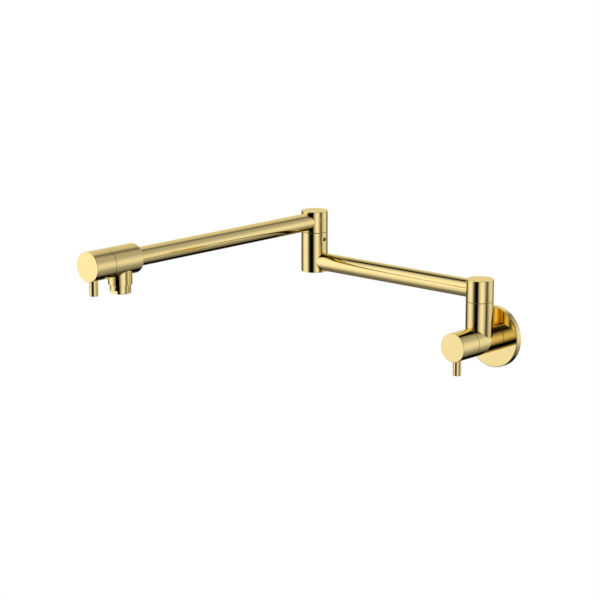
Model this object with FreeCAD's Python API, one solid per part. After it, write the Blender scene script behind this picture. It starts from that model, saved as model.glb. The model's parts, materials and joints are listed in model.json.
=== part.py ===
import FreeCAD
import Part

import math
import os

# A wall-mounted pot filler: a quarter-turn valve on the wall, two swinging arms and a second
# quarter-turn valve over the spout. Sizes are in millimetres.
# The wall is the plane y = 0, the tap stands out towards -y, and z is up. The origin is the middle of
# the inlet, on the wall. At rest the lower arm lies along the wall and the upper arm points out from it.

# Arms and posts
TUBE_D = 22.2
TUBE_WALL = 1.2
TUBE_FIT = 0.03
LOWER_REACH = 263.0
UPPER_REACH = 337.0
POST_D = 33.5
HEAD_LAND = 2.1
HEAD_ROOF = 4.0
EDGE_ROUND = 0.5
SEAM_ROUND = 0.25

# Wall valve body and its flange
VALVE_D = 35.0
COLUMN_RISE = 30.7
COLUMN_BACK_LAND = 8.45
COLUMN_FRONT_LAND = 4.55
INLET_D = 18.6
INLET_DEPTH = 15.0
SHANK_WALL = 3.7
FLANGE_D = 75.0
FLANGE_T = 7.7
FLANGE_FACE = 2.5
FLANGE_RIM = 2.5
FLANGE_ROUND = 1.2
FLANGE_HUB = 3.0
FLANGE_FIT = 0.2
FLANGE_GAP = 0.4
GASKET_W = 6.0
SHANK_SEAL_DEPTH = 1.1
SHANK_SEAL_W = 1.8

# Outlet valve body, spout and aerator
SPOUT_D = 28.5
SPOUT_L = 10.0
SPOUT_REAR_LAND = 7.65
SPOUT_FRONT_LAND = 6.85
SPOUT_PASSAGE = 14.0
OUTLET_REAR_ROUND = 1.2
SEAT_WALL = 7.0
AERATOR_D = 24.8
AERATOR_H = 10.1
AERATOR_FLAT_H = 3.8
AERATOR_FLAT_DEPTH = 1.7
AERATOR_THREAD_L = 6.0
AERATOR_THREAD_STEP = 1.4
AERATOR_WALL = 1.5
AERATOR_LIP = 1.0
AERATOR_LIP_H = 1.5
AERATOR_FIT = 0.05
AERATOR_WASHER_T = 1.8
AERATOR_WASHER_W = 3.5
SCREEN_T = 2.0
SCREEN_WALL = 1.2
SCREEN_HOLE = 1.5
SCREEN_RINGS = 3

# Swivels between the fixed posts and the turning heads
SEAM_GAP = 0.4
STEM_D = 20.0
STEM_BORE = 13.0
STEM_SHOULDER = 1.0
STEM_THREAD_L = 7.0
STEM_END_GAP = 0.5
SWIVEL_FIT = 0.05
SOCKET_DEPTH = 24.0
SOCKET_WEB = 2.0
WASHER_LAND = 1.85
WASHER_SINK = 1.1
WASHER_FIT = 0.2
GRUB_D = 5.0
GRUB_DROP = 8.4
GRUB_SINK = 2.8
GRUB_POINT_D = 3.4
GRUB_HEX = 2.5
GRUB_HEX_DEPTH = 2.5
GRUB_CLEAR = 0.35
GRUB_FIT = 0.03
KEEPER_DEPTH = 1.6
KEEPER_SLACK = 0.5
STEM_SEAL_W = 2.4
STEM_SEAL_DEPTH = 1.8
STEM_SEAL_FIRST = 14.0
STEM_SEAL_PITCH = 5.0
SEAL_CLEAR = 0.02

# Quarter-turn cartridges: distances run outwards from the front face of the valve body
CART_BORE = 20.9
CART_DEPTH = 26.0
CART_FIT = 0.05
CART_ANNULUS = 1.6
CART_WALL = 1.05
CART_THREAD_L = 9.0
CART_HEX_LAND = 1.1
CART_HEX_T = 3.5
NECK_D = 14.0
NECK_L = 5.5
WATERWAY = 11.0
SEAT_SEAL_T = 2.2
SEAT_SEAL_PROUD = 0.4
DISC_T = 3.0
DISC_FIT = 0.1
PORT_INNER_R = 1.8
PORT_RIM = 1.6
PORT_ANGLE = 80.0
DRIVER_W = 4.5
DRIVER_T = 2.4
DRIVER_SINK = 1.2
WINDOW_H = 5.0
WINDOW_W = 9.0
SPINDLE_D = 9.0
SPINDLE_FIT = 0.05
SPINDLE_COLLAR_T = 1.5
SPINDLE_SEAL_W = 1.9
SPINDLE_SEAL_DEPTH = 1.4
SPINDLE_SEAL_AT = 3.0

# Handles and levers
HANDLE_GAP = 0.4
HANDLE_L = 29.4
HANDLE_CLEAR = 0.8
LEVER_D = 10.0
LEVER_L = 17.5
LEVER_FROM_FRONT = 9.3
LEVER_SINK = 1.5
LEVER_THREAD = 6.0
LEVER_FIT = 0.03
LEVER_GROOVE = 1.0
LEVER_GROOVE_SLACK = 0.25
SPINDLE_PAST_LEVER = 4.0
SPINDLE_END_GAP = 0.5
SPLINE_TEETH = 20
SPLINE_TIP_D = 8.4
SPLINE_DEPTH = 0.6

# Worked out from the sizes above
TUBE_BORE = TUBE_D - 2 * TUBE_WALL
HEAD_H = TUBE_D + 2 * HEAD_LAND
POST_R = POST_D / 2
VALVE_R = VALVE_D / 2
STEM_R = STEM_D / 2
SOCKET_R = STEM_R + SWIVEL_FIT
STEM_THREAD_R = STEM_R - STEM_SHOULDER
TUBE_SEAT_R = STEM_THREAD_R + STEM_END_GAP
ELBOW_H = SOCKET_DEPTH + SOCKET_WEB + TUBE_D / 2 + HEAD_H / 2
WALL_BODY_BACK = FLANGE_T + FLANGE_GAP
COLUMN_Y = WALL_BODY_BACK + COLUMN_BACK_LAND + POST_R
COLUMN_TOP = VALVE_R + COLUMN_RISE
WALL_BODY_FRONT = COLUMN_Y + POST_R + COLUMN_FRONT_LAND
LOWER_ARM_Z = COLUMN_TOP + SEAM_GAP + HEAD_H / 2
ELBOW_TOP = LOWER_ARM_Z - HEAD_H / 2 + ELBOW_H
UPPER_ARM_Z = ELBOW_TOP + SEAM_GAP + HEAD_H / 2
SPOUT_TO_FRONT = SPOUT_D / 2 + SPOUT_FRONT_LAND
SPOUT_TO_REAR = SPOUT_D / 2 + SPOUT_REAR_LAND
OUTLET_L = SPOUT_TO_FRONT + SPOUT_TO_REAR
SHANK_D = INLET_D + 2 * SHANK_WALL
SLEEVE_D = CART_BORE - 2 * CART_ANNULUS
SLEEVE_BORE = SLEEVE_D - 2 * CART_WALL
DISC_R = SLEEVE_BORE / 2 - DISC_FIT
CART_HEX = CART_BORE + CART_HEX_LAND
NECK_TOP = CART_HEX_T + NECK_L
DISC_FOOT = SEAT_SEAL_T - CART_DEPTH
DISC_TOP = DISC_FOOT + 2 * DISC_T
HANDLE_FRONT = HANDLE_GAP + HANDLE_L
LEVER_AT = HANDLE_FRONT - LEVER_FROM_FRONT
SPINDLE_TOP = LEVER_AT + SPINDLE_PAST_LEVER
AERATOR_THREAD_D = AERATOR_D - 2 * AERATOR_THREAD_STEP
AERATOR_BORE = AERATOR_THREAD_D - 2 * AERATOR_WALL
AERATOR_DEPTH = AERATOR_THREAD_L + AERATOR_WASHER_T

ORIGIN = FreeCAD.Vector(0, 0, 0)
UP = FreeCAD.Vector(0, 0, 1)
RIGHT = FreeCAD.Vector(1, 0, 0)
WALL_SEAM = FreeCAD.Vector(0, -COLUMN_Y, COLUMN_TOP)
ELBOW_SEAM = FreeCAD.Vector(-LOWER_REACH, -COLUMN_Y, ELBOW_TOP)
SPOUT_FOOT = FreeCAD.Vector(-LOWER_REACH, -COLUMN_Y - UPPER_REACH, UPPER_ARM_Z - VALVE_R - SPOUT_L)

# How near counts as touching, and how far a cutting tool runs past a face
TOUCH = 1e-4
PAST = 1.0


def at(x, y, z):
    """A point or direction."""
    return FreeCAD.Vector(x, y, z)


def rod(diameter, start, end):
    """A plain round bar between two points."""
    run = end - start
    return Part.makeCylinder(diameter / 2, run.Length, start, run)


def rounded_end(bar, centre, radius):
    """A bar with the rim of the end at that centre rounded."""
    rims = [
        edge
        for edge in bar.Edges
        if isinstance(edge.Curve, Part.Circle) and edge.Curve.Center.distanceToPoint(centre) < TOUCH
    ]
    return bar.makeFillet(radius, rims)


def turned(profile):
    """A solid turned about z from an outline of (radius, height) points."""
    points = [at(radius, 0, height) for radius, height in profile]
    outline = Part.makePolygon(points + points[:1])
    return Part.Face(outline).revolve(ORIGIN, UP, 360)


def ring(inner_r, outer_r, low, high):
    """A flat ring about z."""
    return turned([(inner_r, low), (outer_r, low), (outer_r, high), (inner_r, high)])


def seal_ring(groove_r, bore_r, height):
    """An O-ring about z, squeezed between the foot of its groove and the bore round it."""
    section_r = (bore_r - groove_r) / 2 - SEAL_CLEAR
    return Part.makeTorus((bore_r + groove_r) / 2, section_r, at(0, 0, height), UP)


def prism(outline, low, high):
    """A solid with that outline of (x, y) points, between two heights."""
    points = [at(x, y, low) for x, y in outline]
    face = Part.Face(Part.makePolygon(points + points[:1]))
    return face.extrude(at(0, 0, high - low))


def hexagon(across_flats):
    """The corners of a hexagon."""
    corner_r = across_flats / math.sqrt(3)
    return [
        (corner_r * math.cos(math.radians(60 * k)), corner_r * math.sin(math.radians(60 * k)))
        for k in range(6)
    ]


def spline(tip_r):
    """The outline of the handle drive: flank lines between tips and roots."""
    root_r = tip_r - SPLINE_DEPTH
    outline = []
    for k in range(2 * SPLINE_TEETH):
        radius = root_r if k % 2 else tip_r
        angle = math.pi * k / SPLINE_TEETH
        outline.append((radius * math.cos(angle), radius * math.sin(angle)))
    return outline


def facing(base, shape):
    """A piece made about z, stood on the wall side: its z points out from the wall and its y up."""
    placed = shape.copy()
    placed.Placement = FreeCAD.Placement(base, FreeCAD.Rotation(RIGHT, 90)).multiply(shape.Placement)
    return placed


def standing(base, turn, shape):
    """A piece made about z, moved to its post and turned to its own side."""
    placed = shape.copy()
    placed.Placement = FreeCAD.Placement(base, FreeCAD.Rotation(UP, turn)).multiply(shape.Placement)
    return placed


# Swivels: made about z with the top of the fixed post at zero and the grub screw on the +x side.


def swivel_socket(passage_depth):
    """What is cut from a fixed post: washer recess, stem socket, waterway and grub screw hole."""
    washer_r = POST_R - WASHER_LAND + WASHER_FIT
    bore = turned(
        [
            (0, -passage_depth),
            (STEM_BORE / 2, -passage_depth),
            (STEM_BORE / 2, -SOCKET_DEPTH),
            (SOCKET_R, -SOCKET_DEPTH),
            (SOCKET_R, -WASHER_SINK),
            (washer_r, -WASHER_SINK),
            (washer_r, PAST),
            (0, PAST),
        ]
    )
    grub_hole = rod(GRUB_D + 2 * GRUB_FIT, at(0, 0, -GRUB_DROP), at(POST_R + PAST, 0, -GRUB_DROP))
    return bore.fuse(grub_hole)


def stem_seal_heights():
    """Where the two O-rings sit on a stem."""
    return [-STEM_SEAL_FIRST - STEM_SEAL_PITCH * k for k in range(2)]


def swivel_stem():
    """The hollow stem that screws into a head and turns in the post below it."""
    foot = STEM_END_GAP - SOCKET_DEPTH
    stem = turned(
        [
            (STEM_BORE / 2, foot),
            (STEM_R, foot),
            (STEM_R, SEAM_GAP),
            (STEM_THREAD_R, SEAM_GAP),
            (STEM_THREAD_R, SEAM_GAP + STEM_THREAD_L),
            (STEM_BORE / 2, SEAM_GAP + STEM_THREAD_L),
        ]
    )
    half_keeper = GRUB_POINT_D / 2 + KEEPER_SLACK
    stem = stem.cut(
        ring(STEM_R - KEEPER_DEPTH, STEM_R + PAST, -GRUB_DROP - half_keeper, -GRUB_DROP + half_keeper)
    )
    for height in stem_seal_heights():
        low, high = height - STEM_SEAL_W / 2, height + STEM_SEAL_W / 2
        stem = stem.cut(ring(STEM_R - STEM_SEAL_DEPTH, STEM_R + PAST, low, high))
    return stem


def stem_seals():
    """The two O-rings of a stem."""
    rings = [seal_ring(STEM_R - STEM_SEAL_DEPTH, SOCKET_R, height) for height in stem_seal_heights()]
    return Part.makeCompound(rings)


def thrust_washer():
    """The slippery ring that carries a head and leaves the fine seam between head and post."""
    return ring(STEM_R + WASHER_FIT, POST_R - WASHER_LAND, -WASHER_SINK, SEAM_GAP)


def grub_screw():
    """The socket screw whose dog point rides in the stem's groove and keeps the head on its post."""
    outer = POST_R - GRUB_SINK
    shoulder = SOCKET_R + GRUB_CLEAR
    tip = STEM_R - KEEPER_DEPTH + GRUB_CLEAR
    screw = turned(
        [
            (0, tip),
            (GRUB_POINT_D / 2, tip),
            (GRUB_POINT_D / 2, shoulder),
            (GRUB_D / 2, shoulder),
            (GRUB_D / 2, outer),
            (0, outer),
        ]
    )
    screw = screw.cut(prism(hexagon(GRUB_HEX), outer - GRUB_HEX_DEPTH, outer + PAST))
    screw.Placement = FreeCAD.Placement(at(0, 0, -GRUB_DROP), FreeCAD.Rotation(at(0, 1, 0), 90))
    return screw


def tube_socket(height):
    """What is cut from a post for an arm on its +x side: the tube's seat and the way in to the middle."""
    seat = rod(TUBE_D + 2 * TUBE_FIT, at(TUBE_SEAT_R, 0, height), at(POST_R + PAST, 0, height))
    way_in = rod(2 * STEM_THREAD_R, at(0, 0, height), at(TUBE_SEAT_R + PAST, 0, height))
    return seat.fuse(way_in)


def post_head():
    """The turning head of a post, with its arm on the +x side."""
    foot, top = at(0, 0, SEAM_GAP), at(0, 0, SEAM_GAP + HEAD_H)
    head = rounded_end(rod(POST_D, foot, top), top, EDGE_ROUND)
    head = rounded_end(head, foot, SEAM_ROUND)
    stem_bore = rod(2 * STEM_THREAD_R + 2 * TUBE_FIT, foot - UP * PAST, top - UP * HEAD_ROOF)
    return head.cut(stem_bore).cut(tube_socket(SEAM_GAP + HEAD_H / 2))


def elbow_post():
    """The fixed half of the elbow, on the end of the lower arm, which comes from the +x side."""
    foot = at(0, 0, -ELBOW_H)
    post = rounded_end(rod(POST_D, foot, ORIGIN), foot, EDGE_ROUND)
    post = rounded_end(post, ORIGIN, SEAM_ROUND)
    arm_height = HEAD_H / 2 - ELBOW_H
    return post.cut(swivel_socket(-arm_height)).cut(tube_socket(arm_height))


def arm_tube(start, end):
    """A straight arm, from seat to seat."""
    along = (end - start).normalize()
    bore = rod(TUBE_BORE, start - along * PAST, end + along * PAST)
    return rod(TUBE_D, start, end).cut(bore)


# Valves: made about z with the front face of the valve body at zero, z outwards and y up.


def cartridge_chamber():
    """What is cut from a valve body for its cartridge, down to the seat."""
    return rod(CART_BORE, at(0, 0, -CART_DEPTH), at(0, 0, PAST))


def seat_seal():
    """The rubber ring between the seat and the fixed disc."""
    return ring(WATERWAY / 2, DISC_R, -CART_DEPTH, DISC_FOOT)


def disc_ports(first_angle, low, high):
    """The two opposite waterways of a ceramic disc, as sectors."""
    ports = []
    for side in (0, 180):
        sector = Part.makeCylinder(DISC_R - PORT_RIM, high - low, at(0, 0, low), UP, PORT_ANGLE)
        core = rod(2 * PORT_INNER_R, at(0, 0, low), at(0, 0, high))
        sector = sector.cut(core)
        sector.rotate(ORIGIN, UP, first_angle + side - PORT_ANGLE / 2)
        ports.append(sector)
    return ports[0].fuse(ports[1])


def fixed_disc():
    """The lower ceramic disc, held still, with its ports left and right."""
    low, high = DISC_FOOT, DISC_FOOT + DISC_T
    return rod(2 * DISC_R, at(0, 0, low), at(0, 0, high)).cut(disc_ports(0, low - PAST, high + PAST))


def moving_disc():
    """The upper ceramic disc: its ports are a quarter turn off, so the valve is shut at rest."""
    low, high = DISC_FOOT + DISC_T, DISC_TOP
    disc = rod(2 * DISC_R, at(0, 0, low), at(0, 0, high))
    slot_w = DRIVER_W + 2 * DISC_FIT
    slot = Part.makeBox(2 * DISC_R, slot_w, DRIVER_SINK, at(-DISC_R, -slot_w / 2, high - DRIVER_SINK))
    return disc.cut(disc_ports(90, low - PAST, high + PAST)).cut(slot)


def cartridge_sleeve():
    """The brass sleeve that screws into the body, holds the discs and carries the spindle in its neck."""
    foot = SEAT_SEAL_PROUD - CART_DEPTH
    thread_r = CART_BORE / 2 - CART_FIT
    neck_bore_r = SPINDLE_D / 2 + SPINDLE_FIT
    sleeve = turned(
        [
            (SLEEVE_BORE / 2, foot),
            (SLEEVE_D / 2, foot),
            (SLEEVE_D / 2, -CART_THREAD_L),
            (thread_r, -CART_THREAD_L),
            (thread_r, 0),
            (NECK_D / 2, 0),
            (NECK_D / 2, NECK_TOP),
            (neck_bore_r, NECK_TOP),
            (neck_bore_r, -CART_THREAD_L),
            (SLEEVE_BORE / 2, -CART_THREAD_L),
        ]
    )
    hex_flange = prism(hexagon(CART_HEX), 0, CART_HEX_T)
    hex_flange = hex_flange.cut(rod(NECK_D - PAST, at(0, 0, -PAST), at(0, 0, CART_HEX_T + PAST)))
    sleeve = sleeve.fuse(hex_flange)
    window = Part.makeBox(WINDOW_W, SLEEVE_D, WINDOW_H, at(-WINDOW_W / 2, -SLEEVE_D / 2, DISC_TOP))
    return sleeve.cut(window)


def spindle():
    """The spindle: a driver bar in the moving disc, a collar under the neck and a splined end."""
    bar_foot = DISC_TOP - DRIVER_SINK
    collar_top = -CART_THREAD_L - SPINDLE_FIT
    collar_r = DISC_R - DISC_FIT
    bar = Part.makeBox(2 * collar_r, DRIVER_W, DRIVER_T, at(-collar_r, -DRIVER_W / 2, bar_foot))
    bar = bar.common(rod(2 * collar_r, at(0, 0, bar_foot), at(0, 0, bar_foot + DRIVER_T)))
    groove_low = LEVER_AT - LEVER_THREAD / 2 - LEVER_GROOVE_SLACK
    groove_high = LEVER_AT + LEVER_THREAD / 2 + LEVER_GROOVE_SLACK
    groove_r = SPLINE_TIP_D / 2 - SPLINE_DEPTH - LEVER_GROOVE
    shaft = turned(
        [
            (0, bar_foot + DRIVER_T / 2),
            (DRIVER_W / 2, bar_foot + DRIVER_T / 2),
            (DRIVER_W / 2, collar_top - SPINDLE_COLLAR_T),
            (collar_r, collar_top - SPINDLE_COLLAR_T),
            (collar_r, collar_top),
            (SPINDLE_D / 2, collar_top),
            (SPINDLE_D / 2, NECK_TOP),
            (0, NECK_TOP),
        ]
    )
    shaft = shaft.cut(
        ring(
            SPINDLE_D / 2 - SPINDLE_SEAL_DEPTH,
            SPINDLE_D,
            SPINDLE_SEAL_AT - SPINDLE_SEAL_W / 2,
            SPINDLE_SEAL_AT + SPINDLE_SEAL_W / 2,
        )
    )
    drive = prism(spline(SPLINE_TIP_D / 2), NECK_TOP, SPINDLE_TOP)
    drive = drive.cut(ring(groove_r, SPLINE_TIP_D, groove_low, groove_high))
    return bar.fuse(shaft).fuse(drive)


def spindle_seal():
    """The O-ring in the neck."""
    return seal_ring(SPINDLE_D / 2 - SPINDLE_SEAL_DEPTH, SPINDLE_D / 2 + SPINDLE_FIT, SPINDLE_SEAL_AT)


def handle():
    """The round handle over the cartridge, splined on the spindle, with a seat for its lever."""
    back, front = at(0, 0, HANDLE_GAP), at(0, 0, HANDLE_FRONT)
    knob = rounded_end(rod(VALVE_D, back, front), front, EDGE_ROUND)
    knob = rounded_end(knob, back, SEAM_ROUND)
    cavity_d = 2 * CART_HEX / math.sqrt(3) + 2 * HANDLE_CLEAR
    cavity_top = NECK_TOP + HANDLE_CLEAR
    cavity = rod(cavity_d, back - UP * PAST, at(0, 0, cavity_top))
    drive = prism(spline(SPLINE_TIP_D / 2 + SPINDLE_FIT), cavity_top - PAST, SPINDLE_TOP + SPINDLE_END_GAP)
    seat = rod(LEVER_D + 2 * LEVER_FIT, at(0, LEVER_SINK - VALVE_R, LEVER_AT), at(0, -VALVE_D, LEVER_AT))
    thread = rod(LEVER_THREAD + 2 * LEVER_FIT, at(0, 0, LEVER_AT), at(0, -VALVE_R, LEVER_AT))
    return knob.cut(cavity).cut(drive).cut(seat).cut(thread)


def lever():
    """The pin lever: its thread locks the handle on the spindle. It hangs down at rest."""
    shoulder = at(0, LEVER_SINK - VALVE_R, LEVER_AT)
    end = at(0, -VALVE_R - LEVER_L, LEVER_AT)
    stub_end = SPLINE_TIP_D / 2 - SPLINE_DEPTH - LEVER_GROOVE + LEVER_GROOVE_SLACK
    pin = rounded_end(rod(LEVER_D, shoulder, end), end, EDGE_ROUND)
    return pin.fuse(rod(LEVER_THREAD, at(0, -stub_end, LEVER_AT), shoulder))


def wall_valve_body():
    """The fixed body on the wall: inlet shank, cartridge chamber and the column under the first swivel."""
    wall = at(0, 0, -WALL_BODY_FRONT)
    back = wall + UP * WALL_BODY_BACK
    body = rounded_end(rod(VALVE_D, back, ORIGIN), ORIGIN, SEAM_ROUND)
    body = rounded_end(body, back, SEAM_ROUND)
    body = body.fuse(rod(SHANK_D, wall, back + UP * PAST))
    column_at = COLUMN_Y - WALL_BODY_FRONT
    column_top = at(0, COLUMN_TOP, column_at)
    column = rounded_end(rod(POST_D, at(0, 0, column_at), column_top), column_top, SEAM_ROUND)
    body = body.fuse(column).removeSplitter()
    inlet = rod(INLET_D, wall - UP * PAST, wall + UP * INLET_DEPTH)
    waterway = rod(WATERWAY, wall, at(0, 0, PAST - CART_DEPTH))
    socket = swivel_socket(COLUMN_TOP - CART_BORE / 2 + CART_ANNULUS)
    socket.rotate(ORIGIN, UP, 180)
    socket.rotate(ORIGIN, RIGHT, -90)
    socket.translate(column_top)
    groove_at = FLANGE_T / 2 - WALL_BODY_FRONT
    groove = ring(
        SHANK_D / 2 - SHANK_SEAL_DEPTH, SHANK_D, groove_at - SHANK_SEAL_W / 2, groove_at + SHANK_SEAL_W / 2
    )
    return body.cut(inlet).cut(waterway).cut(cartridge_chamber()).cut(socket).cut(groove)


def outlet_valve_body():
    """The valve body on the end of the upper arm, with the spout boss under it."""
    rear = at(0, 0, -OUTLET_L)
    body = rounded_end(rod(VALVE_D, rear, ORIGIN), ORIGIN, SEAM_ROUND)
    body = rounded_end(body, rear, OUTLET_REAR_ROUND)
    spout_foot = at(0, -VALVE_R - SPOUT_L, -SPOUT_TO_FRONT)
    spout_axis = at(0, 0, -SPOUT_TO_FRONT)
    boss = rounded_end(rod(SPOUT_D, spout_axis, spout_foot), spout_foot, SEAM_ROUND)
    body = body.fuse(boss).removeSplitter()
    tube_stop = at(0, 0, -CART_DEPTH - SEAT_WALL)
    tube_seat = rod(TUBE_D + 2 * TUBE_FIT, rear - UP * PAST, tube_stop)
    waterway = rod(WATERWAY, tube_stop - UP * PAST, at(0, 0, PAST - CART_DEPTH))
    passage_top = at(0, CART_ANNULUS - CART_BORE / 2, -SPOUT_TO_FRONT)
    passage = rod(SPOUT_PASSAGE, passage_top, spout_foot)
    aerator_top = spout_foot + at(0, AERATOR_DEPTH, 0)
    aerator_seat = rod(AERATOR_THREAD_D + 2 * AERATOR_FIT, aerator_top, spout_foot - at(0, PAST, 0))
    return body.cut(tube_seat).cut(waterway).cut(cartridge_chamber()).cut(passage).cut(aerator_seat)


# Flange: made about z with the wall at zero and z outwards.


def wall_flange():
    """The round cover plate, hollow behind, round the inlet shank."""
    rim_r, hub_r = FLANGE_D / 2, SHANK_D / 2 + FLANGE_FIT
    hollow = FLANGE_T - FLANGE_FACE
    plate = turned(
        [
            (hub_r, 0),
            (hub_r + FLANGE_HUB, 0),
            (hub_r + FLANGE_HUB, hollow),
            (rim_r - FLANGE_RIM, hollow),
            (rim_r - FLANGE_RIM, 0),
            (rim_r, 0),
            (rim_r, FLANGE_T),
            (hub_r, FLANGE_T),
        ]
    )
    front_rims = [
        edge
        for edge in plate.Edges
        if isinstance(edge.Curve, Part.Circle)
        and abs(edge.Curve.Radius - rim_r) < TOUCH
        and abs(edge.Curve.Center.z - FLANGE_T) < TOUCH
    ]
    return plate.makeFillet(FLANGE_ROUND, front_rims)


def wall_gasket():
    """The soft ring behind the flange, level with its rim."""
    outer_r = FLANGE_D / 2 - FLANGE_RIM - FLANGE_FIT
    return ring(outer_r - GASKET_W, outer_r, 0, FLANGE_T - FLANGE_FACE)


def shank_seal():
    """The O-ring on the shank that holds the flange in place."""
    return seal_ring(SHANK_D / 2 - SHANK_SEAL_DEPTH, SHANK_D / 2 + FLANGE_FIT, FLANGE_T / 2)


# Aerator: made about z with the foot of the spout at zero.


def aerator_housing():
    """The screwed ring under the spout, with two flats for a spanner."""
    foot = at(0, 0, -AERATOR_H)
    housing = rounded_end(rod(AERATOR_D, foot, ORIGIN), foot, EDGE_ROUND)
    housing = housing.fuse(rod(AERATOR_THREAD_D, ORIGIN, at(0, 0, AERATOR_THREAD_L)))
    lip_top = at(0, 0, AERATOR_LIP_H - AERATOR_H)
    housing = housing.cut(rod(AERATOR_BORE, lip_top, at(0, 0, AERATOR_THREAD_L + PAST)))
    housing = housing.cut(rod(AERATOR_BORE - 2 * AERATOR_LIP, foot - UP * PAST, lip_top + UP * PAST))
    flat_y = AERATOR_D / 2 - AERATOR_FLAT_DEPTH
    for side in (0, 180):
        flat = Part.makeBox(
            AERATOR_D, AERATOR_D, AERATOR_FLAT_H + PAST, at(-AERATOR_D / 2, flat_y, -AERATOR_H - PAST)
        )
        flat.rotate(ORIGIN, UP, side)
        housing = housing.cut(flat)
    return housing


def aerator_insert():
    """The flow straightener: a cup with rings of fine holes in its floor."""
    outer_r = AERATOR_BORE / 2 - AERATOR_FIT
    foot = AERATOR_LIP_H - AERATOR_H
    cup = turned(
        [
            (0, foot),
            (outer_r, foot),
            (outer_r, AERATOR_THREAD_L),
            (outer_r - SCREEN_WALL, AERATOR_THREAD_L),
            (outer_r - SCREEN_WALL, foot + SCREEN_T),
            (0, foot + SCREEN_T),
        ]
    )
    pitch = (outer_r - AERATOR_LIP - SCREEN_HOLE) / SCREEN_RINGS
    low, high = foot - PAST, foot + SCREEN_T + PAST
    holes = [rod(SCREEN_HOLE, at(0, 0, low), at(0, 0, high))]
    for k in range(1, SCREEN_RINGS + 1):
        for step in range(6 * k):
            angle = 2 * math.pi * step / (6 * k)
            x, y = pitch * k * math.cos(angle), pitch * k * math.sin(angle)
            holes.append(rod(SCREEN_HOLE, at(x, y, low), at(x, y, high)))
    return cup.cut(Part.makeCompound(holes))


def aerator_washer():
    """The rubber washer over the aerator."""
    outer_r = AERATOR_THREAD_D / 2 - AERATOR_FIT
    return ring(outer_r - AERATOR_WASHER_W, outer_r, AERATOR_THREAD_L, AERATOR_DEPTH)


def wall_pieces(wall_front):
    """What is fixed to the wall round the inlet."""
    return {
        "wall_valve_body": facing(wall_front, wall_valve_body()),
        "wall_flange": facing(ORIGIN, wall_flange()),
        "wall_gasket": facing(ORIGIN, wall_gasket()),
        "shank_seal": facing(ORIGIN, shank_seal()),
    }


def valve_pieces(place, front):
    """The cartridge, handle and lever of one valve."""
    makers = {
        "seat_seal": seat_seal,
        "fixed_disc": fixed_disc,
        "moving_disc": moving_disc,
        "cartridge_sleeve": cartridge_sleeve,
        "spindle": spindle,
        "spindle_seal": spindle_seal,
        "handle": handle,
        "lever": lever,
    }
    return {f"{place}_{name}": facing(front, make()) for name, make in makers.items()}


def swivel_pieces(place, seam, grub_side, arm_side):
    """One swivel: the head with its stem and seals, and the washer and screw in the post below."""
    return {
        f"{place}_head": standing(seam, arm_side, post_head()),
        f"{place}_stem": standing(seam, 0, swivel_stem()),
        f"{place}_stem_seals": standing(seam, 0, stem_seals()),
        f"{place}_thrust_washer": standing(seam, 0, thrust_washer()),
        f"{place}_grub_screw": standing(seam, grub_side, grub_screw()),
    }


def arm_pieces(outlet_front):
    """The two arm tubes and the fixed half of the elbow."""
    lower_start = at(-TUBE_SEAT_R, -COLUMN_Y, LOWER_ARM_Z)
    lower_end = at(TUBE_SEAT_R - LOWER_REACH, -COLUMN_Y, LOWER_ARM_Z)
    upper_start = at(-LOWER_REACH, -COLUMN_Y - TUBE_SEAT_R, UPPER_ARM_Z)
    upper_end = outlet_front + at(0, CART_DEPTH + SEAT_WALL, 0)
    return {
        "lower_arm_tube": arm_tube(lower_start, lower_end),
        "elbow_post": standing(ELBOW_SEAM, 0, elbow_post()),
        "upper_arm_tube": arm_tube(upper_start, upper_end),
    }


def spout_pieces(outlet_front):
    """The outlet valve body and the aerator under it."""
    return {
        "outlet_valve_body": facing(outlet_front, outlet_valve_body()),
        "aerator_housing": standing(SPOUT_FOOT, 0, aerator_housing()),
        "aerator_insert": standing(SPOUT_FOOT, 0, aerator_insert()),
        "aerator_washer": standing(SPOUT_FOOT, 0, aerator_washer()),
    }


def main():
    """Builds every piece and writes one file for each."""
    wall_front = at(0, -WALL_BODY_FRONT, 0)
    outlet_front = at(-LOWER_REACH, -COLUMN_Y - UPPER_REACH - SPOUT_TO_FRONT, UPPER_ARM_Z)
    pieces = {}
    pieces.update(wall_pieces(wall_front))
    pieces.update(valve_pieces("wall", wall_front))
    pieces.update(swivel_pieces("wall", WALL_SEAM, grub_side=180, arm_side=180))
    pieces.update(arm_pieces(outlet_front))
    pieces.update(swivel_pieces("elbow", ELBOW_SEAM, grub_side=0, arm_side=-90))
    pieces.update(spout_pieces(outlet_front))
    pieces.update(valve_pieces("outlet", outlet_front))
    os.makedirs("parts", exist_ok=True)
    for name, shape in pieces.items():
        shape.exportStep(os.path.join("parts", f"{name}.step"))
        print(f"{name}: {len(shape.Solids)} solid(s), {shape.Volume:.1f} mm3, valid {shape.isValid()}")


main()
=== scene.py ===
import json
import math
from typing import NamedTuple

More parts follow.
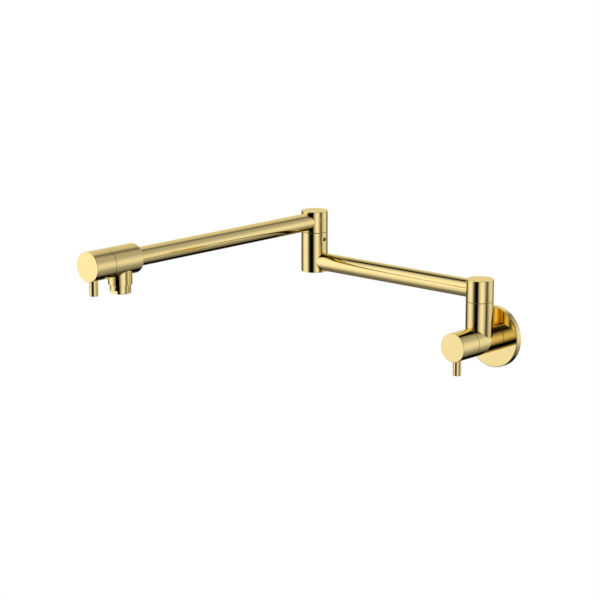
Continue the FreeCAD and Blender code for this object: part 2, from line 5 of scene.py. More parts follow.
import bpy
from mathutils import Euler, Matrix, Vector


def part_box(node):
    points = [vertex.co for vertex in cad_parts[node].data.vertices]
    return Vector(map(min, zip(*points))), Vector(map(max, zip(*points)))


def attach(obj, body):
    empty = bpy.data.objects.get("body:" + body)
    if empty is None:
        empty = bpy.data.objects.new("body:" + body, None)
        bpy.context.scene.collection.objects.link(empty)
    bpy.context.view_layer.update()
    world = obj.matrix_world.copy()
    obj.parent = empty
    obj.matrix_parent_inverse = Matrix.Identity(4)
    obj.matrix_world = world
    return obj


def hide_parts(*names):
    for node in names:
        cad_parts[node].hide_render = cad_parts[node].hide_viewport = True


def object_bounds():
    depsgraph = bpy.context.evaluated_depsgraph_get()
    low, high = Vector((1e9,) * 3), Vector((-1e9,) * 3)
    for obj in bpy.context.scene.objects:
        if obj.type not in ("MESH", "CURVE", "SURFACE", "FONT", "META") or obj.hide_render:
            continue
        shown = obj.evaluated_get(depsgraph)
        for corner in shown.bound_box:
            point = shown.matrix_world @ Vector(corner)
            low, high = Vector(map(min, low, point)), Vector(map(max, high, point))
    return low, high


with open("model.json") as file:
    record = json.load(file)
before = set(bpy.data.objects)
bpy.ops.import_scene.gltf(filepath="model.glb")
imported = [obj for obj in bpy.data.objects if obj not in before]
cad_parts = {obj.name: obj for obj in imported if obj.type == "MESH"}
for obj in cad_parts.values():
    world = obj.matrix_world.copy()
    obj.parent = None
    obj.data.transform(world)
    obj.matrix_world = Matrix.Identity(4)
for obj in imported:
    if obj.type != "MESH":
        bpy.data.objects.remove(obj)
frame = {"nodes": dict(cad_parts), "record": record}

bl_info = {
    "name": "Pot Filler Finisher",
    "version": (1, 0, 0),
    "blender": (4, 5, 0),
    "location": "View3D > Sidebar > Pot Filler",
    "description": "Finishes a wall-mounted pot filler in polished gold and sets it in a soft studio",
    "category": "Object",
}

CAD_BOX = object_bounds()
MILLIMETRE = 0.001
QUARTER_TURN = math.radians(90.0)
ROOT_THREE = math.sqrt(3)
WHITE = (1.0, 1.0, 1.0, 1.0)

NODE_SLOTS = {part["node"]: part["material_slot"] for part in frame["record"]["subparts"]}
# The record counts the gasket as rubber, and its foam has a finish of its own here
NODE_SLOTS["wall_gasket"] = "gasket_foam"
MOUNTS = {mount["name"]: mount for mount in frame["record"]["mounts"]}
INLET = MOUNTS["inlet_thread"]["dims"]


# Shader maths

# The sockets of a Mix node that blends colours
MIX_FACTOR = 0
MIX_FIRST = 6
MIX_SECOND = 7
MIX_RESULT = 2


class Value:
    """A shader socket that takes part in Python sums: each operator adds one Math node."""

    def __init__(self, shader, socket):
        self.shader = shader
        self.socket = socket

    def math(self, operation, *others):
        """This value and the others through one Math node."""
        return self.shader.math(operation, self, *others)

    def __add__(self, other):
        return self.math("ADD", other)

    def __radd__(self, other):
        return self.math("ADD", other)

    def __sub__(self, other):
        return self.math("SUBTRACT", other)

    def __rsub__(self, other):
        return self.shader.math("SUBTRACT", other, self)

    def __mul__(self, other):
        return self.math("MULTIPLY", other)

    def __rmul__(self, other):
        return self.math("MULTIPLY", other)

    def __truediv__(self, other):
        return self.math("DIVIDE", other)

    def __rtruediv__(self, other):
        return self.shader.math("DIVIDE", other, self)


class Shader:
    """A node tree that is written from the top down."""

    def __init__(self, tree):
        self.tree = tree
        tree.nodes.clear()

    def node(self, kind, settings=None, inputs=None, output=0):
        """Adds a node, sets it up, feeds its sockets and returns one of its outputs."""
        made = self.tree.nodes.new(kind)
        for name, setting in (settings or {}).items():
            setattr(made, name, setting)
        for name, fed in (inputs or {}).items():
            if isinstance(fed, Value):
                self.tree.links.new(fed.socket, made.inputs[name])
            else:
                made.inputs[name].default_value = fed
        return Value(self, made.outputs[output]) if made.outputs else made

    def math(self, operation, *values):
        """Values and numbers through one Math node."""
        return self.node("ShaderNodeMath", {"operation": operation}, dict(enumerate(values)))

    def blend(self, factor, first, second):
        """A colour between two colours."""
        inputs = {MIX_FACTOR: factor, MIX_FIRST: opaque(first), MIX_SECOND: opaque(second)}
        return self.node("ShaderNodeMix", {"data_type": "RGBA"}, inputs, output=MIX_RESULT)

    def smooth_step(self, value, low, high):
        """Nought below low, one above high and a soft rise between."""
        limits = {"Value": value, "From Min": low, "From Max": high}
        return self.node("ShaderNodeMapRange", {"interpolation_type": "SMOOTHSTEP"}, limits)


def opaque(colour):
    """A colour with its alpha."""
    return (*colour, 1.0)


def new_material(name):
    """An empty node material and its shader."""
    material = bpy.data.materials.new(name)
    material.use_nodes = True
    return material, Shader(material.node_tree)


def surface(shader, inputs):
    """Ends a material in one principled surface."""
    principled = shader.node("ShaderNodeBsdfPrincipled", None, inputs)
    shader.node("ShaderNodeOutputMaterial", None, {"Surface": principled})


def object_noise(shader, scale, detail=2.0, density=(1.0, 1.0, 1.0)):
    """Noise fixed to the object, with scale grains to a metre, times the density along each axis."""
    coords = shader.node("ShaderNodeTexCoord", output="Object")
    mapped = shader.node("ShaderNodeMapping", None, {"Vector": coords, "Scale": density})
    return shader.node("ShaderNodeTexNoise", None, {"Vector": mapped, "Scale": scale, "Detail": detail})


def bumped(shader, height, strength, depth):
    """A normal pushed about by a height."""
    return shader.node("ShaderNodeBump", None, {"Strength": strength, "Distance": depth, "Height": height})


# Finishes


def polished_gold(settings):
    """Mirror-polished gold plate: clouded by handling and crossed by fine buffing lines."""
    material, shader = new_material("polished_gold")
    cloud = object_noise(shader, scale=45.0, detail=3.0)
    buffing = object_noise(shader, scale=300.0, density=(1.0, 1.0, 14.0))
    handled = shader.smooth_step(cloud, low=0.3, high=0.8)
    buffed = shader.smooth_step(buffing, low=0.45, high=0.75)
    surface(
        shader,
        {
            "Base Color": shader.blend(0.25 * handled, settings.gold_colour, settings.gold_shade),
            "Metallic": 1.0,
            "Specular Tint": opaque(settings.gold_edge),
            "Roughness": settings.gold_roughness + 0.022 * handled + 0.016 * buffed,
            "Normal": bumped(shader, buffing, strength=0.01, depth=0.02 * MILLIMETRE),
        },
    )
    return material


def plain_brass(settings):
    """Machined brass, left bare inside: turned lines and a warm, uneven tone."""
    material, shader = new_material("plain_brass")
    cloud = object_noise(shader, scale=90.0, detail=4.0)
    lines = object_noise(shader, scale=500.0, density=(1.0, 1.0, 6.0))
    surface(
        shader,
        {
            "Base Color": shader.blend(cloud, settings.brass_dark, settings.brass_light),
            "Metallic": 1.0,
            "Roughness": 0.24 + 0.18 * lines,
            "Normal": bumped(shader, lines, strength=0.15, depth=0.05 * MILLIMETRE),
        },
    )
    return material


def valve_ceramic(settings):
    """Lapped white ceramic with a faint warm cloud."""
    material, shader = new_material("valve_ceramic")
    cloud = object_noise(shader, scale=400.0, detail=3.0)
    surface(
        shader,
        {
            "Base Color": shader.blend(cloud, settings.ceramic_warm, settings.ceramic_white),
            "Roughness": 0.16 + 0.1 * cloud,
        },
    )
    return material


def seal_rubber(settings):
    """Matt black rubber with a dusty bloom and a fine skin."""
    material, shader = new_material("seal_rubber")
    bloom = object_noise(shader, scale=160.0, detail=4.0)
    skin = object_noise(shader, scale=2500.0)
    surface(
        shader,
        {
            "Base Color": shader.blend(bloom, settings.rubber_black, settings.rubber_bloom),
            "Roughness": 0.62 + 0.2 * bloom,
            "Normal": bumped(shader, skin, strength=0.35, depth=0.08 * MILLIMETRE),
        },
    )
    return material


def gasket_foam(settings):
    """Dark closed-cell foam, matt and full of fine pores, with painted shade darkening each pore."""
    material, shader = new_material("gasket_foam")
    coords = shader.node("ShaderNodeTexCoord", output="Object")
    cells = {"Vector": coords, "Scale": 1600.0}
    pores = shader.node("ShaderNodeTexVoronoi", None, cells, output="Distance")
    walls = shader.smooth_step(pores, low=0.15, high=0.55)
    surface(
        shader,
        {
            # Painted shade: the pores are coloured darker than the walls between them, for the shade that
            # falls inside them
            "Base Color": shader.blend(walls, settings.foam_pore_shade, settings.foam_wall),
            "Roughness": 0.75 + 0.2 * walls,
            "Normal": bumped(shader, walls, strength=0.6, depth=0.15 * MILLIMETRE),
        },
    )
    return material


def bearing_acetal(settings):
    """Dark, slippery bearing plastic."""
    material, shader = new_material("bearing_acetal")
    cloud = object_noise(shader, scale=500.0)
    surface(
        shader,
        {
            "Base Color": shader.blend(cloud, settings.acetal_dark, settings.acetal_light),
            "Roughness": 0.38 + 0.12 * cloud,
        },
    )
    return material


def screw_steel(settings):
    """Dull steel of a small screw, darker in patches."""
    material, shader = new_material("screw_steel")
    patches = object_noise(shader, scale=700.0, detail=4.0)
    surface(
        shader,
        {
            "Base Color": shader.blend(patches, settings.steel_dark, settings.steel_light),
            "Metallic": 1.0,
            "Roughness": 0.30 + 0.2 * patches,
            "Normal": bumped(shader, patches, strength=0.1, depth=0.05 * MILLIMETRE),
        },
    )
    return material


def aerator_plastic(settings):
    """Pale moulded plastic of the flow straightener."""
    material, shader = new_material("aerator_plastic")
    cloud = object_noise(shader, scale=600.0, detail=3.0)
    surface(
        shader,
        {
            "Base Color": shader.blend(cloud, settings.plastic_dark, settings.plastic_light),
            "Roughness": 0.42 + 0.15 * cloud,
            "Normal": bumped(shader, cloud, strength=0.1, depth=0.05 * MILLIMETRE),
        },
    )
    return material


FINISHES = {
    "polished_gold": polished_gold,
    "plain_brass": plain_brass,
    "valve_ceramic": valve_ceramic,
    "seal_rubber": seal_rubber,
    "gasket_foam": gasket_foam,
    "bearing_acetal": bearing_acetal,
    "screw_steel": screw_steel,
    "aerator_plastic": aerator_plastic,
}


def finish(slot, settings):
    """The material of a slot, made on first use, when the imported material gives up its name."""
    material = bpy.data.materials.get(slot)
    if material and material.get("finished"):
        return material
    if material:
        material.name = f"{slot}_packed"
    material = FINISHES[slot](settings)
    material["finished"] = True
    return material


# Modelling by hand

# Edges up to this angle are shaded smooth
SMOOTH_ANGLE = math.radians(35.0)


def deselect():
    """Nothing is selected and nothing is being edited."""
    if bpy.context.object and bpy.context.object.mode != "OBJECT":
        bpy.ops.object.mode_set(mode="OBJECT")
    bpy.ops.object.select_all(action="DESELECT")


def edit_faces(piece, wanted):
    """Starts to edit the active piece, with only the wanted faces selected."""
    bpy.ops.object.mode_set(mode="EDIT")
    bpy.ops.mesh.select_mode(type="FACE")
    bpy.ops.mesh.select_all(action="DESELECT")
    bpy.ops.object.mode_set(mode="OBJECT")
    for face in piece.data.polygons:
        face.select = wanted(face)
    bpy.ops.object.mode_set(mode="EDIT")


def apply_modifier(piece, kind, **settings):
    """Adds a modifier to the active piece, sets it and applies it."""
    modifier = piece.modifiers.new(kind.title(), kind)
    for name, setting in settings.items():
        setattr(modifier, name, setting)
    bpy.ops.object.modifier_apply(modifier=modifier.name)


def settle(piece, name):
    """Names the active piece, puts its place into its mesh and shades it smooth."""
    piece.name = name
    piece.data.name = name
    bpy.ops.object.transform_apply(location=True, rotation=True, scale=True)
    bpy.ops.object.shade_smooth_by_angle(angle=SMOOTH_ANGLE)


def dress(piece, body, slot, settings, *nodes):
    """Gives a piece its finish and its body, and hides the nodes that it stands for."""
    piece.data.materials.clear()
    piece.data.materials.append(finish(slot, settings))
    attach(piece, body)
    if nodes:
        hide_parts(*nodes)


# Studio light

# What is cut off a soft light's slope, so that it ends before the light's edge
TAIL_CUT = 0.04


def facing(azimuth, elevation):
    """The turn of a camera or a light that looks at the tap from an azimuth and an elevation."""
    return Euler((QUARTER_TURN - elevation, 0.0, azimuth))


def fade(out):
    """One at nought, a soft slope, and nought from just before one on."""
    slope = (out.math("MINIMUM", 1.0) * QUARTER_TURN).math("COSINE").math("POWER", 2.0)
    return (slope * (1.0 + TAIL_CUT) - TAIL_CUT).math("MAXIMUM", 0.0)


class SoftBox(NamedTuple):
    """A soft light round the tap, brightest at one spot and fading to its edges.

    It stands at an azimuth and an elevation in degrees, and at a distance in metres. From its brightest
    spot it reaches left, right, down and up, in metres, and lift is how far that spot is above the line
    to the tap. The level is the spot's brightness, where 1 is white.
    """

    azimuth: float
    distance: float
    left: float
    right: float
    down: float
    up: float
    level: float
    lift: float = 0.0
    elevation: float = 0.0

    def turn(self):
        """The turn that faces the light to the tap."""
        return facing(math.radians(self.azimuth), math.radians(self.elevation))

    def glow(self, across, upright):
        """The share of its level at a point, by how far that is from its brightest spot across and up."""
        sideways = (across / self.right).math("MAXIMUM", across / -self.left)
        upwards = (upright / self.up).math("MAXIMUM", upright / -self.down)
        return fade(sideways) * fade(upwards)


SOFT_BOXES = {
    "left_softbox": SoftBox(
        azimuth=-46.0, distance=2.9, left=3.7, right=2.95, down=4.5, up=12.0, level=1.13, lift=0.1
    ),
    "front_softbox": SoftBox(
        azimuth=69.0, distance=1.2, left=1.25, right=0.95, down=1.2, up=1.2, level=1.04, lift=-0.15
    ),
    "right_softbox": SoftBox(
        azimuth=146.0, distance=3.0, left=2.9, right=2.1, down=1.6, up=12.0, level=0.39, lift=-0.35
    ),
    "right_low_softbox": SoftBox(
        azimuth=137.0, distance=4.4, left=4.3, right=5.1, down=12.0, up=2.8, level=0.42, lift=-0.15
    ),
    "left_floor_fill": SoftBox(
        azimuth=-78.0, distance=0.8, left=3.2, right=6.0, down=12.0, up=0.4, level=0.19, lift=-0.9
    ),
    "right_fill": SoftBox(
        azimuth=130.0, distance=0.8, left=1.2, right=8.0, down=0.4, up=12.0, level=0.14, lift=0.1
    ),
    "overhead_softbox": SoftBox(
        azimuth=42.0, elevation=90.0, distance=2.0, left=1.5, right=1.5, down=1.5, up=1.5, level=0.7
    ),
    "front_high_softbox": SoftBox(
        azimuth=8.0, elevation=26.0, distance=2.0, left=0.8, right=0.8, down=0.65, up=0.65, level=0.28
    ),
}
# The part of the background that the metal mirrors, given as a soft box
BACKDROP = SoftBox(
    azimuth=-155.0, distance=2.6, left=2.0, right=6.5, down=2.15, up=6.0, level=0.82, lift=0.25
)


# Settings


class FinishSettings(bpy.types.PropertyGroup):
    """Colours and gloss of the finishes."""

    gold_colour: bpy.props.FloatVectorProperty(
        name="Gold", description="Colour of the polished plate", subtype="COLOR",
        default=(0.95, 0.765, 0.317),
    )
    gold_shade: bpy.props.FloatVectorProperty(
        name="Gold shade", description="Deeper tone in the clouds", subtype="COLOR",
        default=(0.93, 0.72, 0.264),
    )
    gold_edge: bpy.props.FloatVectorProperty(
        name="Gold edge", description="Tint of the plate at a glancing angle", subtype="COLOR",
        default=(1.0, 0.93, 0.64),
    )
    gold_roughness: bpy.props.FloatProperty(
        name="Gold roughness", description="Roughness of the cleanest polish", subtype="FACTOR",
        default=0.035,
    )
    brass_dark: bpy.props.FloatVectorProperty(
        name="Brass dark", description="Darker tone of the bare brass", subtype="COLOR",
        default=(0.56, 0.40, 0.17),
    )
    brass_light: bpy.props.FloatVectorProperty(
        name="Brass light", description="Lighter tone of the bare brass", subtype="COLOR",
        default=(0.75, 0.58, 0.29),
    )
    ceramic_warm: bpy.props.FloatVectorProperty(
        name="Ceramic warm", description="Warm cloud in the ceramic", subtype="COLOR",
        default=(0.86, 0.85, 0.80),
    )
    ceramic_white: bpy.props.FloatVectorProperty(
        name="Ceramic white", description="White of the ceramic", subtype="COLOR",
        default=(0.92, 0.91, 0.88),
    )
    rubber_black: bpy.props.FloatVectorProperty(
        name="Rubber black", description="Black of the seals", subtype="COLOR",
        default=(0.012, 0.012, 0.013),
    )
    rubber_bloom: bpy.props.FloatVectorProperty(
        name="Rubber bloom", description="Dusty bloom on the seals", subtype="COLOR",
        default=(0.045, 0.044, 0.042),
    )
    # Painted shade: the darker colour given to the foam's pores, standing in for the shade inside them
    foam_pore_shade: bpy.props.FloatVectorProperty(
        name="Foam pore", description="Dark of the foam's pores", subtype="COLOR",
        default=(0.010, 0.010, 0.011),
    )
    foam_wall: bpy.props.FloatVectorProperty(
        name="Foam wall", description="Grey between the foam's pores", subtype="COLOR",
        default=(0.050, 0.050, 0.052),
    )
    acetal_dark: bpy.props.FloatVectorProperty(
        name="Acetal dark", description="Darker tone of the bearings", subtype="COLOR",
        default=(0.030, 0.026, 0.020),
    )
    acetal_light: bpy.props.FloatVectorProperty(
        name="Acetal light", description="Lighter tone of the bearings", subtype="COLOR",
        default=(0.055, 0.048, 0.038),
    )
    steel_dark: bpy.props.FloatVectorProperty(
        name="Steel dark", description="Darker patches of the screws", subtype="COLOR",
        default=(0.20, 0.17, 0.12),
    )
    steel_light: bpy.props.FloatVectorProperty(
        name="Steel light", description="Lighter patches of the screws", subtype="COLOR",
        default=(0.46, 0.40, 0.29),
    )
    plastic_dark: bpy.props.FloatVectorProperty(
        name="Plastic dark", description="Darker tone of the aerator", subtype="COLOR",
        default=(0.50, 0.50, 0.48),
    )
    plastic_light: bpy.props.FloatVectorProperty(
        name="Plastic light", description="Lighter tone of the aerator", subtype="COLOR",
        default=(0.64, 0.64, 0.62),
    )


class PieceSettings(bpy.types.PropertyGroup):
    """Sizes of the pieces that are modelled here."""

    tube_wall: bpy.props.FloatProperty(
        name="Tube wall", description="Wall of the arm tubes", unit="LENGTH", default=1.2 * MILLIMETRE
    )
    tube_sides: bpy.props.IntProperty(name="Tube sides", description="Sides of the arm tubes", default=128)
    thread_pitch: bpy.props.FloatProperty(
        name="Thread pitch", description="Pitch of the inlet thread", unit="LENGTH",
        default=1.814 * MILLIMETRE,
    )
    thread_depth: bpy.props.FloatProperty(
        name="Thread depth", description="Depth of the inlet thread", unit="LENGTH",
        default=0.6 * MILLIMETRE,
    )
    thread_steps: bpy.props.IntProperty(
        name="Thread steps", description="Steps in one turn of the inlet thread", default=72
    )
    ridge_foot: bpy.props.FloatProperty(
        name="Ridge foot", description="Share of the pitch that the ridge stands on", subtype="FACTOR",
        default=0.84,
    )
    ridge_bite: bpy.props.FloatProperty(
        name="Ridge bite", description="How far the ridge is sunk into the wall, as a share of its depth",
        subtype="FACTOR", default=0.1,
    )
    cup_wall: bpy.props.FloatProperty(
        name="Cup wall", description="Wall of the aerator's cup", unit="LENGTH", default=0.7 * MILLIMETRE
    )
    cup_sides: bpy.props.IntProperty(name="Cup sides", description="Sides of the aerator's cup", default=96)
    cell_pitch: bpy.props.FloatProperty(
        name="Cell pitch", description="From one honeycomb cell to the next", unit="LENGTH",
        default=1.7 * MILLIMETRE,
    )
    cell_web: bpy.props.FloatProperty(
        name="Cell web", description="Web between two honeycomb cells", unit="LENGTH",
        default=0.35 * MILLIMETRE,
    )
    cell_depth: bpy.props.FloatProperty(
        name="Cell depth", description="Depth of the honeycomb cells", unit="LENGTH",
        default=2.5 * MILLIMETRE,
    )


class StageSettings(bpy.types.PropertyGroup):
    """The camera, the light and the floor."""

    camera_place: bpy.props.FloatVectorProperty(
        name="Camera", description="Where the camera stands", subtype="TRANSLATION",
        default=(1.63794, -2.16786, 0.64791),
    )
    camera_azimuth: bpy.props.FloatProperty(
        name="Azimuth", description="Turn of the camera about z", subtype="ANGLE",
        default=math.radians(42.055),
    )
    camera_elevation: bpy.props.FloatProperty(
        name="Elevation", description="How far the camera looks down", subtype="ANGLE",
        default=math.radians(12.579),
    )
    camera_lens: bpy.props.FloatProperty(
        name="Lens", description="Focal length in millimetres", default=138.705
    )
    camera_sensor: bpy.props.FloatProperty(
        name="Sensor", description="Width of the sensor in millimetres", default=36.0
    )
    camera_sight: bpy.props.FloatProperty(
        name="Sight", description="How far the camera sees", unit="LENGTH", default=100.0
    )
    light_colour: bpy.props.FloatVectorProperty(
        name="Light", description="Colour of the soft lights", subtype="COLOR", default=(1.0, 1.0, 1.12)
    )
    mirror_bounces: bpy.props.IntProperty(
        name="Mirror bounces", description="How often light may go on from metal to metal", default=8
    )
    floor_colour: bpy.props.FloatVectorProperty(
        name="Floor", description="Colour of the floor's paint", subtype="COLOR",
        default=(0.82, 0.82, 0.82),
    )
    floor_drop: bpy.props.FloatProperty(
        name="Floor drop", description="Floor below the object", unit="LENGTH", default=1.0
    )
    floor_width: bpy.props.FloatProperty(
        name="Floor width", description="Side of the floor", unit="LENGTH", default=12.0
    )


class PotFillerSettings(bpy.types.PropertyGroup):
    """All settings of the pot filler."""

    finish: bpy.props.PointerProperty(type=FinishSettings)
    piece: bpy.props.PointerProperty(type=PieceSettings)
    stage: bpy.props.PointerProperty(type=StageSettings)


# Operators


class POTFILLER_OT_node_finishes(bpy.types.Operator):
    """Give every carried-over node the finish of its slot"""

    bl_idname = "potfiller.node_finishes"
    bl_label = "Finish the Nodes"

    def execute(self, context):
        settings = context.scene.pot_filler.finish
        for name, node in frame["nodes"].items():
            for slot in node.material_slots:
                slot.material = finish(NODE_SLOTS[name], settings)
        return {"FINISHED"}


class POTFILLER_OT_arm_tubes(bpy.types.Operator):
    """Model the two arm tubes with a fine round and a true wall"""

    bl_idname = "potfiller.arm_tubes"
    bl_label = "Arm Tubes"

    def execute(self, context):
        settings = context.scene.pot_filler
        along_x = (0.0, QUARTER_TURN, 0.0)
        along_y = (QUARTER_TURN, 0.0, 0.0)
        self.tube("lower_arm_tube", "lower_arm", "polished_lower_tube", 0, along_x, settings)
        self.tube("upper_arm_tube", "upper_arm", "polished_upper_tube", 1, along_y, settings)
        return {"FINISHED"}

    def tube(self, node, body, name, axis, turn, settings):
        """One tube, in the box of its node."""
        low, high = (Vector(corner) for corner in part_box(node))
        size = high - low
        deselect()
        bpy.ops.mesh.primitive_cylinder_add(
            vertices=settings.piece.tube_sides, radius=size.z / 2, depth=size[axis],
            end_fill_type="NOTHING", location=(low + high) / 2, rotation=turn,
        )
        piece = bpy.context.object
        apply_modifier(piece, "SOLIDIFY", thickness=settings.piece.tube_wall, offset=-1.0)
        settle(piece, name)
        dress(piece, body, "polished_gold", settings.finish, node)


class POTFILLER_OT_inlet_thread(bpy.types.Operator):
    """Wind the pipe thread's ridge round the inside of the inlet"""

    bl_idname = "potfiller.inlet_thread"
    bl_label = "Inlet Thread"

    # Height of an equal-sided triangle whose corners are 1 from its middle
    triangle_height = 1.5

    def execute(self, context):
        settings = context.scene.pot_filler
        pitch = settings.piece.thread_pitch
        turns = int(INLET["length_mm"] * MILLIMETRE / pitch) - 1
        if turns < 1:
            raise ValueError("the inlet is too short for one turn of its thread")
        ridge = self.profile(settings.piece)
        steps = settings.piece.thread_steps
        apply_modifier(
            ridge, "SCREW", angle=2 * math.pi, screw_offset=pitch, iterations=turns, steps=steps,
            render_steps=steps, use_merge_vertices=True, use_normal_calculate=True,
        )
        self.close_ends()
        # The ridge was wound up the z axis, and is turned to run from the wall into the tap
        ridge.rotation_euler = (QUARTER_TURN, 0.0, 0.0)
        ridge.location = (0.0, -pitch, 0.0)
        settle(ridge, "inlet_thread_ridge")
        dress(ridge, "wall_body", "plain_brass", settings.finish)
        return {"FINISHED"}

    def profile(self, piece):
        """The ridge's section: a triangle that stands in the bore's wall and points to its axis."""
        bite = piece.ridge_bite * piece.thread_depth
        reach = (piece.thread_depth + bite) / self.triangle_height
        foot = INLET["r_mm"] * MILLIMETRE + bite
        spread = piece.ridge_foot * piece.thread_pitch / (ROOT_THREE * reach)
        deselect()
        bpy.ops.mesh.primitive_circle_add(
            vertices=3, radius=reach, location=(foot - reach / 2, 0.0, 0.0),
            rotation=(QUARTER_TURN, -QUARTER_TURN, 0.0), scale=(spread, 1.0, 1.0),
        )
        bpy.ops.object.transform_apply(location=True, rotation=True, scale=True)
        return bpy.context.object

    def close_ends(self):
        """Fills the two open triangles of the active ridge and turns its faces outwards."""
        bpy.ops.object.mode_set(mode="EDIT")
        bpy.ops.mesh.select_all(action="SELECT")
        bpy.ops.mesh.fill_holes(sides=3)
        bpy.ops.mesh.normals_make_consistent(inside=False)
        bpy.ops.object.mode_set(mode="OBJECT")


class POTFILLER_OT_aerator_honeycomb(bpy.types.Operator):
    """Model the aerator's insert as a cup whose floor is a honeycomb of fine cells"""

    bl_idname = "potfiller.aerator_honeycomb"
    bl_label = "Aerator Honeycomb"

    # A face whose normal has more z than this looks up
    looks_up = 0.9
    # Length of a cutter in cell depths, so that it goes through the floor and out on both sides
    cutter_length = 4.0

    def execute(self, context):
        settings = context.scene.pot_filler
        low, high = (Vector(corner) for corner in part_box("aerator_insert"))
        cup = self.cup(low, high, settings.piece)
        plain_faces = len(cup.data.polygons)
        cutter = self.cutter(low, high, settings.piece)
        deselect()
        cup.select_set(True)
        bpy.context.view_layer.objects.active = cup
        apply_modifier(cup, "BOOLEAN", operation="DIFFERENCE", object=cutter, solver="EXACT")
        bpy.data.objects.remove(cutter)
        if len(cup.data.polygons) <= plain_faces:
            raise RuntimeError("the honeycomb's cells were not cut")
        settle(cup, "honeycomb_insert")
        dress(cup, "upper_arm", "aerator_plastic", settings.finish, "aerator_insert")
        return {"FINISHED"}

    def cup(self, low, high, piece):
        """A round cup with a closed floor, in the box of its node."""
        radius = (high.x - low.x) / 2
        depth = high.z - low.z
        deselect()
        bpy.ops.mesh.primitive_cylinder_add(
            vertices=piece.cup_sides, radius=radius, depth=depth, location=(low + high) / 2
        )
        cup = bpy.context.object
        edit_faces(cup, lambda face: face.normal.z > self.looks_up)
        bpy.ops.mesh.inset(thickness=piece.cup_wall)
        downwards = {"value": (0.0, 0.0, piece.cell_depth - depth)}
        bpy.ops.mesh.extrude_region_move(TRANSFORM_OT_translate=downwards)
        bpy.ops.object.mode_set(mode="OBJECT")
        return cup

    def cutter(self, low, high, piece):
        """One six-sided prism, copied to every cell's spot and joined with its copies."""
        reach = (piece.cell_pitch - piece.cell_web) / ROOT_THREE
        room = (high.x - low.x) / 2 - piece.cup_wall - reach
        middle = Vector(((low.x + high.x) / 2, (low.y + high.y) / 2, low.z))
        first, *others = (middle + spot for spot in self.spots(room, piece.cell_pitch))
        deselect()
        bpy.ops.mesh.primitive_cylinder_add(
            vertices=6, radius=reach, depth=self.cutter_length * piece.cell_depth, location=first
        )
        prisms = [bpy.context.object]
        for spot in others:
            bpy.ops.object.duplicate()
            prisms.append(bpy.context.object)
            prisms[-1].location = spot
        for prism in prisms:
            prism.select_set(True)
        bpy.ops.object.join()
        return bpy.context.object

    def spots(self, room, pitch):
        """The cells' middles in staggered rows, as far out as there is room."""
        row_step = pitch * ROOT_THREE / 2
        rows = int(room / row_step) + 1
        columns = int(room / pitch) + 1
        for row in range(-rows, rows + 1):
            for column in range(-columns, columns + 1):
                spot = Vector(((column + (row % 2) / 2) * pitch, row * row_step, 0.0))
                if spot.length <= room:
                    yield spot


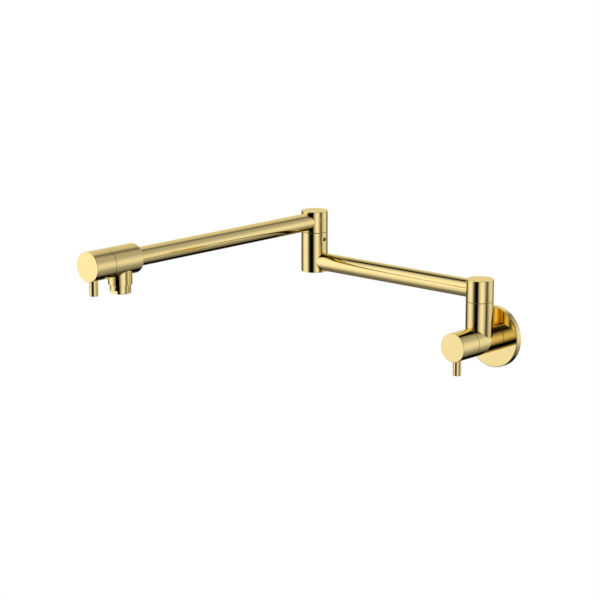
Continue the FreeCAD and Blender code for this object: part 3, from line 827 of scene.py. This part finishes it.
class POTFILLER_OT_stage(bpy.types.Operator):
    """Set the floor, the soft studio light and the camera"""

    bl_idname = "potfiller.stage"
    bl_label = "Stage"

    def execute(self, context):
        stage = context.scene.pot_filler.stage
        self.floor(stage)
        self.background(context.scene)
        low, high = (Vector(corner) for corner in CAD_BOX)
        for name, box in SOFT_BOXES.items():
            self.soft_box(name, box, (low + high) / 2, stage.light_colour)
        self.camera(context.scene, stage)
        context.scene.view_settings.view_transform = "Standard"
        context.scene.cycles.glossy_bounces = stage.mirror_bounces
        return {"FINISHED"}

    def floor(self, stage):
        """A pale floor, well below the tap, seen as plain white from above and not at all from below."""
        deselect()
        bpy.ops.mesh.primitive_plane_add(size=stage.floor_width, location=(0.0, 0.0, -stage.floor_drop))
        floor = bpy.context.object
        floor.name = "floor"
        floor.visible_glossy = False
        material, shader = new_material("pale_floor")
        seen = shader.node("ShaderNodeLightPath", output="Is Camera Ray")
        paint = shader.node("ShaderNodeBsdfDiffuse", None, {"Color": opaque(stage.floor_colour)})
        white = shader.node("ShaderNodeEmission", None, {"Color": WHITE, "Strength": 1.0})
        upper = shader.node("ShaderNodeMixShader", None, {0: seen, 1: paint, 2: white})
        below = shader.node("ShaderNodeNewGeometry", output="Backfacing")
        clear = shader.node("ShaderNodeBsdfTransparent")
        sided = shader.node("ShaderNodeMixShader", None, {0: below, 1: upper, 2: clear})
        shader.node("ShaderNodeOutputMaterial", None, {"Surface": sided})
        floor.data.materials.append(material)

    def background(self, scene):
        """A background that the camera sees as white all round, and the metal only where it is lit."""
        world = bpy.data.worlds.new("white_background")
        world.use_nodes = True
        scene.world = world
        shader = Shader(world.node_tree)
        seen = shader.node("ShaderNodeLightPath", output="Is Camera Ray")
        glossy = shader.node("ShaderNodeLightPath", output="Is Glossy Ray")
        through = shader.node("ShaderNodeLightPath", output="Is Transmission Ray")
        strength = seen + glossy.math("MAXIMUM", through) * self.lit_patch(shader, BACKDROP)
        white = shader.node("ShaderNodeBackground", None, {"Color": WHITE, "Strength": strength})
        shader.node("ShaderNodeOutputWorld", None, {"Surface": white})

    def lit_patch(self, shader, box):
        """The background's brightness in each direction, as if a soft box stood there."""
        way = shader.node("ShaderNodeTexCoord", output="Generated")
        side, upright, ahead = (self.along(shader, way, axis) for axis in box.turn().to_matrix().col)
        across = side / ahead * box.distance
        height = upright / ahead * box.distance - box.lift
        return box.level * box.glow(across, height) * ahead.math("GREATER_THAN", 0.0)

    def along(self, shader, way, axis):
        """How far a direction goes along an axis."""
        ways = {0: way, 1: tuple(axis)}
        return shader.node("ShaderNodeVectorMath", {"operation": "DOT_PRODUCT"}, ways, output="Value")

    def soft_box(self, name, box, middle, colour):
        """One lamp, turned to the tap, brightest at one spot and fading to its edges."""
        width = box.left + box.right
        height = box.down + box.up
        place = Vector(((box.right - box.left) / 2, (box.up - box.down) / 2 + box.lift, box.distance))
        place.rotate(box.turn())
        deselect()
        bpy.ops.object.light_add(type="AREA", location=middle + place, rotation=box.turn())
        lamp = bpy.context.object
        lamp.name = name
        lamp.visible_camera = False
        lamp.data.color = colour
        lamp.data.shape = "RECTANGLE"
        lamp.data.size = width
        lamp.data.size_y = height
        # With this power a lamp of level 1 is seen in a mirror as white
        lamp.data.energy = math.pi * width * height * box.level
        lamp.data.use_nodes = True
        shader = Shader(lamp.data.node_tree)
        share = shader.node("ShaderNodeNewGeometry", output="Parametric")
        share_x = shader.node("ShaderNodeSeparateXYZ", None, {"Vector": share}, output="X")
        share_y = shader.node("ShaderNodeSeparateXYZ", None, {"Vector": share}, output="Y")
        glow = box.glow(share_x * width - box.left, share_y * height - box.down)
        lit = shader.node("ShaderNodeEmission", None, {"Strength": glow})
        shader.node("ShaderNodeOutputLight", None, {"Surface": lit})

    def camera(self, scene, stage):
        """The photograph's view."""
        turn = facing(stage.camera_azimuth, stage.camera_elevation)
        bpy.ops.object.camera_add(location=stage.camera_place, rotation=turn)
        camera = bpy.context.object
        camera.data.sensor_width = stage.camera_sensor
        camera.data.lens = stage.camera_lens
        camera.data.clip_end = stage.camera_sight
        scene.camera = camera


class POTFILLER_PT_sidebar(bpy.types.Panel):
    """The pot filler's steps and settings"""

    bl_idname = "POTFILLER_PT_sidebar"
    bl_label = "Pot Filler"
    bl_space_type = "VIEW_3D"
    bl_region_type = "UI"
    bl_category = "Pot Filler"

    def draw(self, context):
        settings = context.scene.pot_filler
        for group in (settings.finish, settings.piece, settings.stage):
            box = self.layout.box()
            for name in group.__annotations__:
                box.prop(group, name)
        for operator in OPERATORS:
            self.layout.operator(operator.bl_idname)


OPERATORS = (
    POTFILLER_OT_node_finishes,
    POTFILLER_OT_arm_tubes,
    POTFILLER_OT_inlet_thread,
    POTFILLER_OT_aerator_honeycomb,
    POTFILLER_OT_stage,
)
SETTINGS = (FinishSettings, PieceSettings, StageSettings, PotFillerSettings)
CLASSES = (*SETTINGS, *OPERATORS, POTFILLER_PT_sidebar)


def register():
    """Adds the classes and the scene's settings."""
    for made in CLASSES:
        bpy.utils.register_class(made)
    bpy.types.Scene.pot_filler = bpy.props.PointerProperty(type=PotFillerSettings)


def unregister():
    """Takes them away again."""
    del bpy.types.Scene.pot_filler
    for made in reversed(CLASSES):
        bpy.utils.unregister_class(made)


def main():
    """Finishes the tap and sets the stage."""
    register()
    bpy.ops.potfiller.node_finishes()
    bpy.ops.potfiller.arm_tubes()
    bpy.ops.potfiller.inlet_thread()
    bpy.ops.potfiller.aerator_honeycomb()
    bpy.ops.potfiller.stage()


if __name__ == "__main__":
    main()
